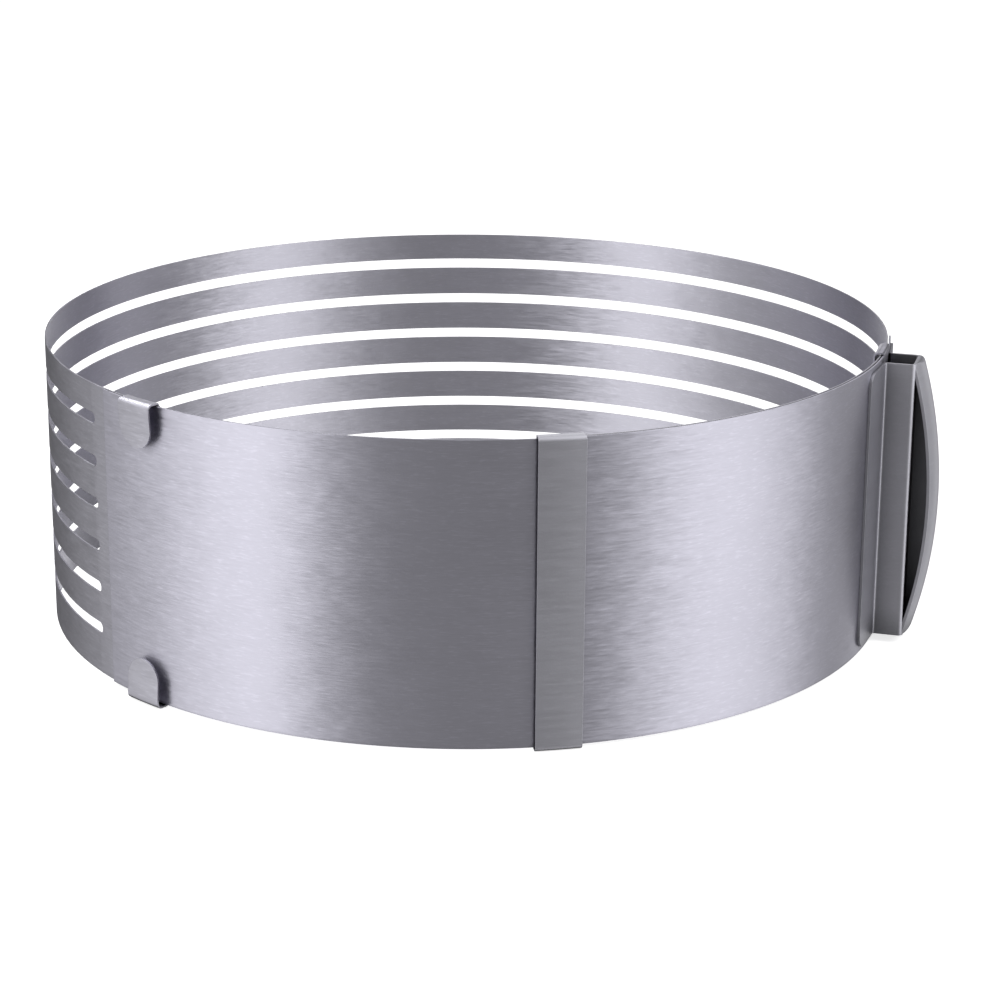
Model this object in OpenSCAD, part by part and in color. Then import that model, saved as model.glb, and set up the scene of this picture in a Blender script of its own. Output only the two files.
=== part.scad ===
// Adjustable cake leveler: two thin steel bands nested into one ring. The inner band
// carries the knife slots, the outer band carries the grip and slides round it.
// Millimetres, +Z up. The origin is on the ring's axis, at the height of its lowest point,
// and +X runs from there through the middle of the grip.
// Angles are in degrees about the ring's axis, from +X, anticlockwise seen from above.

/* [Ring] */
// Outside diameter of the slotted band at the size shown
ring_d = 250; // [240:1:300]
// Height of both bands
band_h = 85; // [60:0.5:110]
// Thickness of both bands and of the sleeve
sheet = 0.5; // [0.4:0.05:0.8]
// Running gap between the two bands, and over their edges
slide_gap = 0.3; // [0.2:0.05:0.5]

/* [Knife slots] */
// Number of slots, one above the other
slot_n = 6; // [2:1:8]
// Distance from one slot to the next, the thickness of a cake layer
slot_pitch = 12.3; // [8:0.1:16]
// Height of a slot
slot_h = 3.2; // [1.5:0.1:5]
// Middle of the lowest slot above the band's lower edge
slot_first = 13.5; // [8:0.1:20]
// Where the slots start, under the plain band
slot_from = -46; // [-52:1:-20]
// Where the slots end, just past the plain band's free end
slot_to = 231; // [200:1:233]

/* [Ends of the bands] */
// Middle of the sleeve, at the slotted band's covered end
strap_at = -62.3; // [-68:0.1:-58]
// Middle of the hooks at the slotted band's other end
band_hook_at = -117.3; // [-119:0.1:-112]
// Free end of the plain band
plain_from = -125.2; // [-130:0.1:-124.5]
// End of the plain band behind the grip
plain_to = 9.4; // [8:0.1:9.6]
// Middle of the hooks of the plain band, inside the grip
grip_hook_at = 0.8; // [-5:0.1:5]

/* [Hooks and sleeve] */
// Width of the slotted band's hooks
hook_w = 12.3; // [8:0.1:16]
// How far those hooks reach outward from the band's inner face
hook_depth = 4.1; // [2.5:0.1:5]
// Length of every hook from the band's edge to its round tip
hook_len = 12.3; // [9:0.1:18]
// How much nearer to the band a hook's tip is than its fold
hook_lean = 0.7; // [0:0.1:1.6]
// Width of the plain band's hooks
grip_hook_w = 11.6; // [8:0.1:13]
// How far those hooks reach inward from the band's outer face
grip_hook_depth = 3.2; // [2.4:0.1:4]
// Width of the sleeve
strap_w = 12.5; // [8:0.5:16]
// Clear space between the plain band and the sleeve's outer wall
strap_space = 1.4; // [0.8:0.1:2.5]
// Outer radius of the folds
fold_r = 1.5; // [1:0.1:1.8]

/* [Grip] */
// Thickness of the grip's sheet
grip_t = 0.8; // [0.6:0.1:1.2]
// Height of the grip
grip_h = 82; // [50:0.5:84]
// Width of the grip's channel, outside
grip_w = 12.2; // [10:0.1:16]
// Height of the channel out from the plain band
grip_depth = 9.3; // [6:0.1:14]
// Width of each flange beside the channel
flange_w = 15; // [6:0.5:20]
// Radius of the flanges' corners
flange_r = 4; // [1:0.5:6]
// Outer radius of the channel's bends
bend_r = 1.5; // [1.2:0.1:2.5]
// How far the louver's crest stands out from the channel
louver_rise = 7.3; // [4:0.1:10]
// Radius of the louver's crown, seen from above
louver_crown = 22; // [14:0.5:30]
// Radius of the louver's closed rear shoulder
louver_shoulder = 2.6; // [1.8:0.1:4]
// How far the louver stands out at the ends of the grip
louver_step = 1.2; // [0.8:0.1:2]
// Radius of the crown's corners at both ends of the grip, seen from the side
crown_r = 1.8; // [0.8:0.1:3]

/* [Hidden] */
$fn = 96;
cut = 1;
// A hook's straight root above its band's edge, and the band left beside it, in degrees
root = 0.1;
end_margin = 0.2;
// Folding and slotting draw the sheet thinner by this much on each face.
drawn = 0.02;
ra_out = ring_d / 2;
ra_in = ra_out - sheet;
rb_in = ra_out + slide_gap;
rb_out = rb_in + sheet;
// The folds' tops and bottoms are the ring's highest and lowest points.
fold_rise = slide_gap + sheet;
z_low = fold_rise;
z_high = z_low + band_h;
z_mid = z_low + band_h / 2;
hook_half = half_angle(hook_w, ra_out);
strap_half = half_angle(strap_w, ra_out);
grip_hook_half = half_angle(grip_hook_w, rb_out);
slotted_from = strap_at + strap_half;
slotted_to = 360 + band_hook_at + hook_half + end_margin;
r_strap = rb_out + strap_space + sheet;
// The grip's channel in plan, with its bends
g_half = grip_w / 2;
r_crown = rb_out + grip_depth;
bend_in = bend_r - grip_t;
flange_half = g_half + flange_w;
// The louver is a crowned section swept round an axis across the grip.
r_crest = r_crown + louver_rise;
louver_bow = louver_rise - louver_step;
sweep_r = (pow(grip_h / 2, 2) + pow(louver_bow, 2)) / (2 * louver_bow);
end_slope = asin(grip_h / 2 / sweep_r);
shear_y = -g_half + grip_t;
crown_y = 3;
shoulder_run = g_half - louver_shoulder - crown_y;

// Half the angle that a width w covers at radius r, to a hundredth of a degree
function half_angle(w, r) = hundredths(asin(w / 2 / r));
function hundredths(a) = round(a * 100) / 100;

// A section, x outward and y up, carried round the ring's axis from angle a0 to a1
module carried(a0, a1) {
    rotate_extrude(start = a0, angle = a1 - a0) children();
}

// Both edges of a band get the same thing: once at the top, once mirrored at the bottom.
module both_edges() {
    children();
    translate([0, 2 * z_mid]) mirror([0, 1]) children();
}

// Block from x = x0 to x1 up to y = top, its two upper corners rounded by rl and rr
module round_top(x0, x1, y0, top, rl, rr) {
    difference() {
        translate([x0, y0]) square([x1 - x0, top - y0]);
        difference() {
            translate([x0 - cut, top - rl]) square([rl + cut, rl + cut]);
            translate([x0 + rl, top - rl]) circle(r = rl);
        }
        difference() {
            translate([x1 - rr, top - rr]) square([rr + cut, rr + cut]);
            translate([x1 - rr, top - rr]) circle(r = rr);
        }
    }
}

// A plain band with its inner face at radius r
module band(r, from, to) {
    carried(from, to) translate([r, z_low]) square([sheet, band_h]);
}

// The hooks at a band's two edges in section, folded over the other band.
// x = 0 is on the face of their own band that turns away from the other one.
module hook_section(depth, lean) {
    bend_y = z_high - fold_r;
    tip_y = z_high - hook_len;
    both_edges() {
        difference() {
            round_top(drawn, depth, bend_y, z_high + fold_rise, fold_rise - root, fold_r);
            round_top(sheet - drawn, depth - sheet, bend_y - cut, z_high + slide_gap,
                slide_gap - root, fold_r - sheet);
        }
        polygon([[depth - sheet, bend_y], [depth, bend_y],
            [depth - lean, tip_y], [depth - lean - sheet, tip_y]]);
    }
}

// What is cut from a hook's leaf at angle a, so that both leaves get round tips.
// It reaches from radius r0 to r1. The tip's circle is a little wider than the leaf.
module tip_cuts(a, w, r0, r1) {
    tip_r = w / 2 + 0.3;
    rotate([0, 0, a]) rotate([90, 0, 90]) translate([0, 0, r0]) linear_extrude(r1 - r0)
        both_edges() translate([0, z_high - hook_len]) difference() {
            translate([-w, -cut]) square([2 * w, tip_r + cut]);
            translate([0, tip_r]) circle(r = tip_r);
        }
}

// Height of the middle of slot i, i = 0 the lowest
function slot_z(i) = z_low + slot_first + i * slot_pitch;

// The long bar below slot i, where i = slot_n is the bar above the highest slot
module bar(i) {
    from_z = i == 0 ? z_low : slot_z(i - 1) + slot_h / 2;
    to_z = i == slot_n ? z_high : slot_z(i) - slot_h / 2;
    carried(slot_from, slot_to) translate([ra_in + drawn, from_z])
        square([sheet - 2 * drawn, to_z - from_z]);
}

// A plain end of the slotted band, from angle a0 to a1, with the slots' round ends at angle a.
// They are a little wider than the slots.
module plain_end(a0, a1, a) {
    difference() {
        band(ra_in, a0, a1);
        for (i = [0 : slot_n - 1]) rotate([0, 0, a]) translate([ra_in - cut, 0, slot_z(i)])
            rotate([0, 90, 0]) cylinder(d = slot_h + 0.1, h = sheet + 2 * cut);
    }
}

// Inner band, with the slots and the two hooks folded outward from its free end
module slotted_band() {
    color([0.70, 0.70, 0.73]) {
        plain_end(slotted_from, slot_from, slot_from);
        plain_end(slot_to, slotted_to, slot_to);
        for (i = [0 : slot_n]) bar(i);
        difference() {
            carried(band_hook_at - hook_half, band_hook_at + hook_half)
                translate([ra_in, 0]) hook_section(hook_depth, hook_lean);
            tip_cuts(band_hook_at, hook_w, rb_in, rb_in + 2 * hook_depth);
        }
    }
}

// Outer band, with the two hooks folded inward near its end, inside the grip
module plain_band() {
    color([0.74, 0.74, 0.77]) {
        band(rb_in, plain_from, plain_to);
        difference() {
            carried(grip_hook_at - grip_hook_half, grip_hook_at + grip_hook_half)
                translate([rb_out, 0]) mirror([1, 0])
                    hook_section(grip_hook_depth, hook_lean);
            tip_cuts(grip_hook_at, grip_hook_w, ra_out - 2 * grip_hook_depth, ra_out);
        }
    }
}

// Sleeve welded to the slotted band's covered end. The plain band slides through it.
module strap() {
    x1 = r_strap - ra_in + sheet;
    color([0.62, 0.62, 0.66]) carried(strap_at - strap_half, strap_at + strap_half)
        translate([ra_in - sheet, 0]) both_edges() difference() {
            round_top(0, x1, z_mid, z_high + fold_rise, fold_rise, fold_r);
            round_top(sheet, x1 - sheet, z_mid - cut, z_high + slide_gap,
                slide_gap, fold_r - sheet);
        }
}

// Quarter of a bend, outer radius r, turned to the quadrant q
module bend(x, y, r, q) {
    translate([x, y]) rotate(90 * q) intersection() {
        difference() {
            circle(r = r);
            circle(r = r - grip_t);
        }
        square(r + cut);
    }
}

// The channel in plan: flanges on the plain band, bends, side walls and crown
module channel() {
    y_flange = g_half + bend_in;
    x_foot = sqrt(pow(rb_out, 2) - pow(y_flange, 2)) + bend_r;
    rotate(-90) difference() {
        round_top(-g_half, g_half, x_foot, r_crown, bend_r, bend_r);
        round_top(-g_half + grip_t, g_half - grip_t, x_foot - cut, r_crown - grip_t,
            bend_in, bend_in);
    }
    for (side = [0, 1]) mirror([0, side]) {
        bend(x_foot, y_flange, bend_r, 2);
        intersection() {
            difference() {
                circle(r = rb_out + grip_t, $fn = 360);
                circle(r = rb_out, $fn = 360);
            }
            translate([0, y_flange]) square([r_crown, flange_half - y_flange]);
        }
    }
}

// The louver's crowned section, shrunk by t for its inner face
module louver_section(t) {
    xc = r_crest - louver_crown;
    tilt = asin(shoulder_run / (louver_crown - louver_shoulder));
    xs = xc + (louver_crown - louver_shoulder) * cos(tilt);
    ys = g_half - louver_shoulder;
    x_low = r_crown - 2 * grip_t - louver_rise;
    intersection() {
        translate([xc, crown_y]) circle(r = louver_crown - t);
        translate([x_low, shear_y]) square([r_crest - x_low,
            ys + (louver_shoulder - t) * sin(tilt) - shear_y]);
    }
    translate([xs, ys]) circle(r = louver_shoulder - t);
    translate([x_low, ys - cut]) square([xs - x_low, louver_shoulder - t + cut]);
}

// A section in plan swept up and down the grip round an axis along y
module sweep() {
    turn = 1.15 * end_slope;
    translate([r_crest - sweep_r, 0, z_mid]) rotate([90, 0, 0])
        rotate([0, 0, -turn]) rotate_extrude(angle = 2 * turn)
            translate([sweep_r - r_crest, 0]) children();
}

// Space from the crown outward, of height h
module above_crown(h) {
    translate([r_crown - grip_t, -g_half - cut, z_mid - h / 2])
        cube([2 * louver_rise, grip_w + 2 * cut, h]);
}

// What the rounding of the crown takes off at both ends
module crown_corners() {
    z_end = grip_h / 2;
    xc = r_crown + louver_step - crown_r * (1 - sin(end_slope)) / cos(end_slope);
    zc = z_end - crown_r;
    reach = crown_r + cut;
    for (side = [1, -1]) translate([0, 0, z_mid]) rotate([90, 0, 0])
        linear_extrude(grip_w + 2 * cut, center = true) scale([1, side]) difference() {
            polygon([[xc, zc], [xc, z_end + cut], [xc + 2 * reach, z_end + cut],
                [xc + reach * cos(end_slope), zc + reach * sin(end_slope)]]);
            translate([xc, zc]) circle(r = crown_r);
        }
}

// The space under the louver, closed at both ends
module under_louver() {
    intersection() {
        sweep() mirror([0, 1]) louver_section(grip_t);
        above_crown(grip_h - 2 * grip_t);
    }
}

// Grip: a channel with two flanges, its crown sheared at the front and drawn out
module grip() {
    color([0.60, 0.60, 0.64]) difference() {
        union() {
            intersection() {
                translate([0, 0, z_mid - grip_h / 2]) linear_extrude(grip_h) channel();
                grip_outline();
            }
            intersection() {
                sweep() mirror([0, 1]) louver_section(0);
                above_crown(grip_h);
            }
        }
        under_louver();
        crown_corners();
    }
}

// The grip's blank seen from outside, with the flanges' round corners
module grip_outline() {
    translate([rb_out - grip_depth, 0, z_mid]) rotate([90, 0, 90])
        linear_extrude(3 * grip_depth) difference() {
            square([2 * flange_half, grip_h], center = true);
            for (x = [-1, 1], y = [-1, 1]) scale([x, y])
                translate([flange_half - flange_r, grip_h / 2 - flange_r]) difference() {
                    square(flange_r + cut);
                    circle(r = flange_r);
                }
        }
}

slotted_band();
plain_band();
strap();
grip();
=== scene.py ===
"""Dresses the adjustable cake ring: satin stainless sheet in a plain white studio."""

import math

import bpy
from mathutils import Matrix, Vector

MM = 0.001

# Camera, as the photograph was taken: degrees and millimetres
CAMERA_AZIMUTH = -73.5
CAMERA_REACH = 778.0
CAMERA_HEIGHT = 278.0
AIM_HEIGHT = 43.3
CAMERA_ROLL = 0.16
LENS = 97.7
SHIFT_X = 0.0265
SHIFT_Y = -0.0353

# Sheets: rounding of their edges in millimetres, and the angle in degrees that shades as an edge
EDGE_RADIUS = 0.15
SHARP_ANGLE = 30

# Brushed steel. A mark's size in millimetres, along the band and across it.
FINE = (4.5, 0.32)
LONG = (11, 0.9)
FLECK = (2.4, 0.4)
PATCH = (9, 7)
CLOUD = (60, 45)
# How much the marks change the colour, the roughness and the turn of a reflection
CLOUD_SHADE = 0.03
FLECK_RARITY = 5
FLECK_GAIN = 5
ROUGHNESS_SPREAD = 0.03
LONG_FRAY = 0.4
PATCH_FRAY = 0.4
# Middle of a noise's values, and how open to the sky a crevice and open sheet are for the painted
# shade
NOISE_LOW, NOISE_HIGH = 0.3, 0.7
PAINTED_SHADE_LOW, PAINTED_SHADE_HIGH = 0.35, 0.9

# Each piece's steel and painted shade: see steel() for the meaning. reach is in millimetres, how
# far the painted shade near neighbouring parts spreads.
ROUGHNESS = 0.42
BAND = dict(anisotropy=0.8, brushed=0.02, fray=0.032, reach=2, deepest_painted_shade=0.04)
FINISHES_AND_SHADE = {
    "slotted_band": dict(name="slotted_steel", colour=(0.570, 0.562, 0.625), **BAND),
    "plain_band": dict(name="plain_steel", colour=(0.590, 0.580, 0.660), **BAND),
    "strap": dict(name="strap_steel", colour=(0.630, 0.625, 0.685), anisotropy=0.4,
                  brushed=0.01, fray=0.006, reach=1.5, deepest_painted_shade=0.04),
    # The grip's colour gets deep painted shade over a wide reach, darkening its channel and
    # flange.
    "grip": dict(name="grip_steel", colour=(0.590, 0.585, 0.640), anisotropy=0.4,
                 brushed=0.01, fray=0.006, reach=12, deepest_painted_shade=0.28),
}

# Graded wall that only the steel reflects: azimuth to the right of the camera, in degrees, and
# brightness. Bright windows with dark between them, set until the bands' tones came
# near the photograph's.
WALL_RADIUS = 0.65
WALL_FOOT = -1.0
WALL_TOP = 1.0
WALL_STEP = 3
WALL_LIGHT = [
    (-180, 1.20), (-168, 0.30), (-158, 0.05), (-136, 0.10), (-116, 0.30), (-100, 0.48),
    (-88, 0.66), (-78, 0.90), (-66, 1.15), (-46, 1.20), (-39, 0.72), (-31, 0.32), (-20, 0.24),
    (20, 0.24), (30, 0.27), (40, 0.56), (50, 0.92), (60, 1.04), (84, 1.04), (93, 0.60),
    (104, 0.32), (116, 0.28), (121, 0.82), (130, 0.86), (136, 0.12), (150, 0.06), (160, 0.40),
    (180, 1.20),
]

# Floor: its diffuse white, and the glow that brings it to full white for the camera
FLOOR_SIZE = 12
FLOOR_WHITE = 0.8
FLOOR_GLOW = 0.74

# Light of the world on matt surfaces
FILL_LEVEL = 0.35

# Lamps: azimuth to the right of the camera in degrees, distance from the axis, height and
# size in metres, and power in watts. They aim at a point on the axis.
LAMPS = {
    "key": (70, 1.5, 1.3, 1.0, 14),
    "fill": (-60, 1.5, 1.2, 1.0, 10),
    "upper_left": (-122, 0.58, 0.61, 0.3, 1.6),
}
LAMP_AIM = 0.04


def node(tree, kind, **values):
    """A shader node with its attributes set"""
    made = tree.nodes.new(kind)
    for name, value in values.items():
        setattr(made, name, value)
    return made


def material(name):
    """An empty node material and its output"""
    made = bpy.data.materials.new(name)
    made.use_nodes = True
    made.node_tree.nodes.clear()
    return made, made.node_tree, node(made.node_tree, "ShaderNodeOutputMaterial")


def maths(tree, operation, a, b=None):
    """A maths node. Its inputs are sockets or numbers."""
    made = node(tree, "ShaderNodeMath", operation=operation)
    for slot, value in enumerate([a] if b is None else [a, b]):
        if isinstance(value, (int, float)):
            made.inputs[slot].default_value = value
        else:
            tree.links.new(value, made.inputs[slot])
    return made.outputs[0]


def streaks(tree, place, size, detail):
    """Noise drawn out along the band, with a streak's size along it and across it"""
    along, across = (length * MM for length in size)
    scale = node(tree, "ShaderNodeMapping", vector_type="POINT")
    scale.inputs["Scale"].default_value = (1 / along, 1 / along, 1 / across)
    tree.links.new(place, scale.inputs["Vector"])
    noise = node(tree, "ShaderNodeTexNoise")
    noise.inputs["Scale"].default_value = 1
    noise.inputs["Detail"].default_value = detail
    tree.links.new(scale.outputs["Vector"], noise.inputs["Vector"])
    return noise.outputs["Fac"]


def spread(tree, value, low, high):
    """Maps the middle of a noise's values to low..high"""
    made = node(tree, "ShaderNodeMapRange")
    made.inputs["From Min"].default_value = NOISE_LOW
    made.inputs["From Max"].default_value = NOISE_HIGH
    made.inputs["To Min"].default_value = low
    made.inputs["To Max"].default_value = high
    tree.links.new(value, made.inputs["Value"])
    return made.outputs["Result"]


def painted_crevice_shade(tree, reach, deepest_painted_shade):
    """Painted shade for the colour: 1 in the open, down to its deepest value where something
    stands within reach
    """
    near = node(tree, "ShaderNodeAmbientOcclusion", samples=6)
    near.inputs["Distance"].default_value = reach * MM
    shade = node(tree, "ShaderNodeMapRange", interpolation_type="SMOOTHSTEP")
    shade.inputs["From Min"].default_value = PAINTED_SHADE_LOW
    shade.inputs["From Max"].default_value = PAINTED_SHADE_HIGH
    shade.inputs["To Min"].default_value = deepest_painted_shade
    tree.links.new(near.outputs["AO"], shade.inputs["Value"])
    return shade.outputs["Result"]


def steel(name, colour, anisotropy, brushed, fray, reach, deepest_painted_shade):
    """Stainless sheet. brushed is the depth of its fine lines, fray how far they turn a
    reflection. A neighbour within reach darkens its colour with painted shade, at most down to the
    deepest shade given."""
    made, tree, output = material(name)
    bsdf = node(tree, "ShaderNodeBsdfPrincipled")
    bsdf.inputs["Metallic"].default_value = 1
    bsdf.inputs["Anisotropic"].default_value = anisotropy
    place = node(tree, "ShaderNodeTexCoord").outputs["Object"]
    fine = streaks(tree, place, FINE, 2)
    long = streaks(tree, place, LONG, 2)
    fleck = streaks(tree, place, FLECK, 1)
    patch = streaks(tree, place, PATCH, 2)
    cloud = streaks(tree, place, CLOUD, 2)

    shade = maths(tree, "MULTIPLY", spread(tree, fine, 1 - brushed, 1 + brushed),
                  spread(tree, long, 1 - brushed, 1 + brushed))
    shade = maths(tree, "MULTIPLY", shade, spread(tree, cloud, 1 - CLOUD_SHADE, 1 + CLOUD_SHADE))
    bright = maths(tree, "POWER", spread(tree, fleck, 0, 1), FLECK_RARITY)
    shade = maths(tree, "MULTIPLY", shade,
                  maths(tree, "ADD", maths(tree, "MULTIPLY", bright, FLECK_GAIN * brushed), 1))
    # Painted shade: the colour darkens where another part stands within reach.
    shade = maths(tree, "MULTIPLY", shade, painted_crevice_shade(tree, reach, deepest_painted_shade))
    tint = node(tree, "ShaderNodeVectorMath", operation="SCALE")
    tint.inputs[0].default_value = colour
    tree.links.new(shade, tint.inputs["Scale"])
    tree.links.new(tint.outputs["Vector"], bsdf.inputs["Base Color"])

    tree.links.new(spread(tree, long, ROUGHNESS - ROUGHNESS_SPREAD, ROUGHNESS + ROUGHNESS_SPREAD),
                   bsdf.inputs["Roughness"])

    # Each line of the brushing turns the surface a little about the ring's axis.
    cross = node(tree, "ShaderNodeVectorMath", operation="CROSS_PRODUCT")
    cross.inputs[0].default_value = (0, 0, 1)
    tree.links.new(place, cross.inputs[1])
    around = node(tree, "ShaderNodeVectorMath", operation="NORMALIZE")
    tree.links.new(cross.outputs["Vector"], around.inputs[0])
    world = node(tree, "ShaderNodeVectorTransform", vector_type="VECTOR",
                 convert_from="OBJECT", convert_to="WORLD")
    tree.links.new(around.outputs["Vector"], world.inputs["Vector"])
    turn = node(tree, "ShaderNodeVectorMath", operation="SCALE")
    tree.links.new(world.outputs["Vector"], turn.inputs[0])
    frayed = maths(tree, "ADD", spread(tree, fine, -fray, fray),
                   spread(tree, long, -LONG_FRAY * fray, LONG_FRAY * fray))
    frayed = maths(tree, "ADD", frayed, spread(tree, patch, -PATCH_FRAY * fray, PATCH_FRAY * fray))
    tree.links.new(frayed, turn.inputs["Scale"])
    # Cut and folded edges are a little round.
    edge = node(tree, "ShaderNodeBevel", samples=4)
    edge.inputs["Radius"].default_value = EDGE_RADIUS * MM
    tilted = node(tree, "ShaderNodeVectorMath", operation="ADD")
    tree.links.new(edge.outputs["Normal"], tilted.inputs[0])
    tree.links.new(turn.outputs["Vector"], tilted.inputs[1])
    normal = node(tree, "ShaderNodeVectorMath", operation="NORMALIZE")
    tree.links.new(tilted.outputs["Vector"], normal.inputs[0])
    tree.links.new(normal.outputs["Vector"], bsdf.inputs["Normal"])

    # Brushing round the ring spreads a reflection up and down.
    upright = node(tree, "ShaderNodeCombineXYZ")
    upright.inputs["Z"].default_value = 1
    tree.links.new(upright.outputs["Vector"], bsdf.inputs["Tangent"])
    tree.links.new(bsdf.outputs["BSDF"], output.inputs["Surface"])
    return made


def dress(frame):
    """Gives each CAD piece its steel and smooth shading, with crisp edges."""
    for name, finish_and_shade in FINISHES_AND_SHADE.items():
        piece = frame["nodes"][name]
        piece.data.materials.clear()
        piece.data.materials.append(steel(**finish_and_shade))
        for face in piece.data.polygons:
            face.use_smooth = True
        piece.data.set_sharp_from_angle(angle=math.radians(SHARP_ANGLE))


def wall():
    """The graded wall, which only reflections see"""
    points, glow = [], []
    stops = list(zip(WALL_LIGHT, WALL_LIGHT[1:]))
    for turn in range(-180, 180, WALL_STEP):
        (start, low), (end, high) = next(pair for pair in stops if pair[0][0] <= turn < pair[1][0])
        angle = math.radians(CAMERA_AZIMUTH + turn)
        for z in (WALL_FOOT, WALL_TOP):
            points.append((WALL_RADIUS * math.cos(angle), WALL_RADIUS * math.sin(angle), z))
            glow.append(low + (high - low) * (turn - start) / (end - start))
    count = len(points)
    faces = [(k, (k + 2) % count, (k + 3) % count, k + 1) for k in range(0, count, 2)]
    mesh = bpy.data.meshes.new("wall")
    mesh.from_pydata(points, [], faces)
    mesh.attributes.new("glow", "FLOAT", "POINT").data.foreach_set("value", glow)
    surface, tree, output = material("wall_glow")
    light = node(tree, "ShaderNodeEmission")
    level = node(tree, "ShaderNodeAttribute", attribute_name="glow")
    tree.links.new(level.outputs["Fac"], light.inputs["Strength"])
    tree.links.new(light.outputs["Emission"], output.inputs["Surface"])
    mesh.materials.append(surface)
    made = bpy.data.objects.new("wall", mesh)
    bpy.context.scene.collection.objects.link(made)
    made.visible_camera = False
    made.visible_diffuse = False
    made.visible_shadow = False
    made.visible_transmission = False


def floor():
    """White floor that keeps the ring's shadow"""
    bpy.ops.mesh.primitive_plane_add(size=FLOOR_SIZE)
    made = bpy.context.active_object
    made.name = "floor"
    surface, tree, output = material("floor_white")
    matt = node(tree, "ShaderNodeBsdfDiffuse")
    matt.inputs["Color"].default_value = (FLOOR_WHITE, FLOOR_WHITE, FLOOR_WHITE, 1)
    glow = node(tree, "ShaderNodeEmission")
    rays = node(tree, "ShaderNodeLightPath")
    tree.links.new(maths(tree, "MULTIPLY", rays.outputs["Is Camera Ray"], FLOOR_GLOW),
                   glow.inputs["Strength"])
    both = node(tree, "ShaderNodeAddShader")
    tree.links.new(matt.outputs["BSDF"], both.inputs[0])
    tree.links.new(glow.outputs["Emission"], both.inputs[1])
    tree.links.new(both.outputs["Shader"], output.inputs["Surface"])
    made.data.materials.append(surface)
    made.visible_glossy = False


def lamp(name, turn, reach, height, size, power):
    """A square softbox aimed at the ring"""
    data = bpy.data.lights.new(name, "AREA")
    data.size = size
    data.energy = power
    made = bpy.data.objects.new(name, data)
    angle = math.radians(CAMERA_AZIMUTH + turn)
    made.location = (reach * math.cos(angle), reach * math.sin(angle), height)
    aim = Vector((0, 0, LAMP_AIM)) - made.location
    made.rotation_euler = aim.to_track_quat("-Z", "Y").to_euler()
    bpy.context.scene.collection.objects.link(made)


def surroundings():
    """White for the camera and for reflections, and a soft fill for matt surfaces"""
    world = bpy.data.worlds.new("studio")
    bpy.context.scene.world = world
    world.use_nodes = True
    tree = world.node_tree
    tree.nodes.clear()
    rays = node(tree, "ShaderNodeLightPath")
    seen = maths(tree, "MAXIMUM", rays.outputs["Is Camera Ray"], rays.outputs["Is Glossy Ray"])
    seen = maths(tree, "MAXIMUM", seen, rays.outputs["Is Transmission Ray"])
    level = node(tree, "ShaderNodeMapRange")
    level.inputs["To Min"].default_value = FILL_LEVEL
    level.inputs["To Max"].default_value = 1
    tree.links.new(seen, level.inputs["Value"])
    background = node(tree, "ShaderNodeBackground")
    tree.links.new(level.outputs["Result"], background.inputs["Strength"])
    output = node(tree, "ShaderNodeOutputWorld")
    tree.links.new(background.outputs["Background"], output.inputs["Surface"])


def camera():
    """The photograph's camera"""
    data = bpy.data.cameras.new("camera")
    data.lens = LENS
    data.sensor_width = 36
    data.shift_x = SHIFT_X
    data.shift_y = SHIFT_Y
    data.clip_end = 20
    made = bpy.data.objects.new("camera", data)
    bpy.context.scene.collection.objects.link(made)
    angle = math.radians(CAMERA_AZIMUTH)
    place = Vector((CAMERA_REACH * math.cos(angle), CAMERA_REACH * math.sin(angle),
                    CAMERA_HEIGHT)) * MM
    look = Vector((0, 0, AIM_HEIGHT * MM)) - place
    turn = look.to_track_quat("-Z", "Y").to_matrix().to_4x4()
    roll = Matrix.Rotation(math.radians(CAMERA_ROLL), 4, "Z")
    made.matrix_world = Matrix.Translation(place) @ turn @ roll
    bpy.context.scene.camera = made


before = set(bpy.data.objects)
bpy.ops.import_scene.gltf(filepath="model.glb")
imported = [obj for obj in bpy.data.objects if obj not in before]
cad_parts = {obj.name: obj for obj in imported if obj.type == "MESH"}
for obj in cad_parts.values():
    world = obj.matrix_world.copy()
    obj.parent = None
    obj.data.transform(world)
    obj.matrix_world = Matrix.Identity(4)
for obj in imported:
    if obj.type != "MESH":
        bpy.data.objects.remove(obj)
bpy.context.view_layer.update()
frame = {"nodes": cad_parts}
camera()
surroundings()
floor()
wall()
for name, values in LAMPS.items():
    lamp(name, *values)
dress(frame)
bpy.context.scene.view_settings.view_transform = "Standard"
